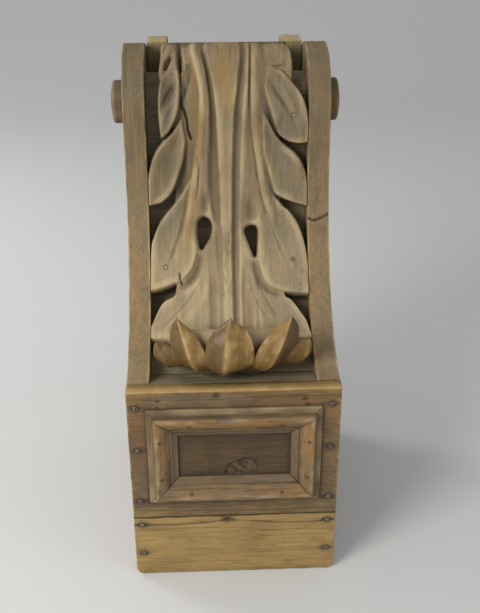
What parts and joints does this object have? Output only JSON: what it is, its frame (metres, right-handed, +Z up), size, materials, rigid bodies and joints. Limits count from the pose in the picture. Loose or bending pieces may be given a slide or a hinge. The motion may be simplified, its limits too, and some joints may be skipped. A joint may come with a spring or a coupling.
{
  "type": "wooden corbel bracket",
  "caption": "Carved wooden corbel bracket: cut side boards with bosses, an acanthus leaf in the cove and a nailed box front with a mitred moulding.",
  "frame": {"origin": "centre of the upper back rail's back face, flush with the side boards' back edges, on the wall plane", "axes": "+Y into the wall, +Z up as pictured, +X to the viewer's right"},
  "size_m": [0.3446, 0.4056, 0.7392],
  "materials": {
    "side_wood": "weathered, bare, matt",
    "leaf_wood": "weathered, waxed on the petals",
    "box_wood": "worn golden pine, satin",
    "trim_wood": "worn golden pine, satin",
    "inner_wood": "raw, dusty",
    "nail_iron": "rusted, dark"
  },
  "bodies": {
    "root": {"acanthus_leaf": "leaf_wood", "backing_stave_01": "inner_wood", "backing_stave_02": "inner_wood", "backing_stave_03": "inner_wood", "backing_stave_04": "inner_wood", "backing_stave_05": "inner_wood", "backing_stave_06": "inner_wood", "backing_stave_07": "inner_wood", "backing_stave_08": "inner_wood", "backing_stave_09": "inner_wood", "backing_stave_10": "inner_wood", "backing_stave_11": "inner_wood", "backing_stave_12": "inner_wood", "backing_stave_13": "inner_wood", "left_side_board": "side_wood", "right_side_board": "side_wood", "left_boss": "side_wood", "right_boss": "side_wood", "panel_front_board": "box_wood", "lower_front_board": "box_wood", "moulding_top": "trim_wood", "moulding_bottom": "trim_wood", "moulding_left": "trim_wood", "moulding_right": "trim_wood", "left_batten": "inner_wood", "right_batten": "inner_wood", "upper_back_rail": "inner_wood", "lower_back_rail": "inner_wood", "nail_left_upper": "nail_iron", "nail_left_middle": "nail_iron", "nail_left_lower": "nail_iron", "nail_left_joint": "nail_iron", "nail_left_foot": "nail_iron", "nail_right_upper": "nail_iron", "nail_right_middle": "nail_iron", "nail_right_lower": "nail_iron", "nail_right_joint": "nail_iron", "nail_right_foot": "nail_iron"}
  },
  "joints": []
}
